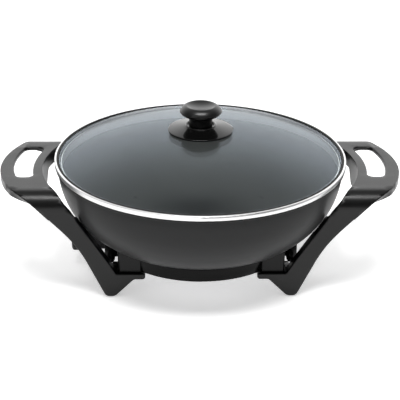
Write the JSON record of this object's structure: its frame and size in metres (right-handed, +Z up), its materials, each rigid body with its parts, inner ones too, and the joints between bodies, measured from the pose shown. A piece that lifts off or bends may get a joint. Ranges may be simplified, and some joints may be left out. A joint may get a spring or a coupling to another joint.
{
  "type": "electric wok",
  "caption": "Electric wok with a deep round bowl on two bridge-shaped handles that form the feet, a lift-off domed glass lid with a knob, and a plug-in dial controller.",
  "frame": {"origin": "on the table plane under the centre of the bowl", "axes": "+Z up, -Y towards the cook (the front), +X to the right; the controller plugs in from -X"},
  "size_m": [0.494, 0.36, 0.215],
  "materials": {
    "bowl_coating": "satin non-stick coating, lighter grey inside",
    "base_plastic": "glossy black",
    "plate_steel": "plain steel sheet",
    "screw_steel": "zinc-plated",
    "element_steel": "dull heat-stained tube",
    "shield_steel": "bright sheet",
    "stud_steel": "zinc-plated",
    "spacer_steel": "turned",
    "nut_steel": "zinc-plated",
    "pin_metal": "nickel-plated",
    "well_metal": "drawn tube",
    "guard_plastic": "heat-resistant black",
    "controller_plastic": "fine-textured black",
    "nose_plastic": "heat-resistant moulding",
    "contact_brass": "bright",
    "probe_steel": "ground rod",
    "switch_plastic": "ceramic-filled moulding",
    "blade_metal": "two-layer strip",
    "spindle_metal": "turned",
    "dial_plastic": "satin black with white scale marks",
    "lens_plastic": "clear red",
    "gland_rubber": "black",
    "handle_plastic": "satin black with a fine grain",
    "lid_glass": "clear tempered glass",
    "band_steel": "bright polished stainless steel",
    "seal_rubber": "dark silicone",
    "skirt_plastic": "glossy black",
    "knob_plastic": "satin black",
    "insert_brass": "knurled",
    "knob_screw_steel": "stainless",
    "washer_rubber": "grey silicone",
    "block_plastic": "satin black",
    "pad_rubber": "black"
  },
  "bodies": {
    "cooker": {"bowl": "bowl_coating", "base_ring": "base_plastic", "base_plate": "plate_steel", "base_screws": "screw_steel", "heating_element": "element_steel", "heat_shield": "shield_steel", "centre_stud": "stud_steel", "stud_spacer": "spacer_steel", "base_nut": "nut_steel", "terminal_pin_front": "pin_metal", "terminal_pin_rear": "pin_metal", "probe_well": "well_metal", "socket_guard": "guard_plastic", "handle_right": "handle_plastic", "handle_left": "handle_plastic", "handle_screws": "screw_steel", "leg_block_front_right": "block_plastic", "foot_pad_front_right": "pad_rubber", "leg_block_rear_right": "block_plastic", "foot_pad_rear_right": "pad_rubber", "leg_block_front_left": "block_plastic", "foot_pad_front_left": "pad_rubber", "leg_block_rear_left": "block_plastic", "foot_pad_rear_left": "pad_rubber"},
    "lid": {"lid_glass": "lid_glass", "lid_band": "band_steel", "lid_seal": "seal_rubber", "knob_skirt": "skirt_plastic", "knob": "knob_plastic", "knob_insert": "insert_brass", "knob_screw": "knob_screw_steel", "knob_washer_above": "washer_rubber", "knob_washer_below": "washer_rubber"},
    "controller": {"controller_base": "controller_plastic", "controller_cover": "controller_plastic", "controller_screws": "screw_steel", "plug_nose": "nose_plastic", "contact_socket_front": "contact_brass", "contact_socket_rear": "contact_brass", "probe_rod": "probe_steel", "thermostat_switch": "switch_plastic", "bimetal_blade": "blade_metal", "indicator_lens": "lens_plastic", "cord_gland": "gland_rubber"},
    "dial": {"dial": "dial_plastic", "dial_spindle": "spindle_metal"}
  },
  "joints": [
    {"name": "lid_lift", "type": "slide", "parent": "cooker", "child": "lid", "axis": [0, 0, 1], "range_m": [0, 0.15]},
    {"name": "controller_unplug", "type": "slide", "parent": "cooker", "child": "controller", "axis": [-1, 0, 0], "range_m": [0, 0.09]},
    {"name": "dial_turn", "type": "hinge", "parent": "controller", "child": "dial", "pos_m": [-0.15, 0, 0.0397], "axis": [-1, 0, 0], "range_deg": [0, 270]}
  ]
}
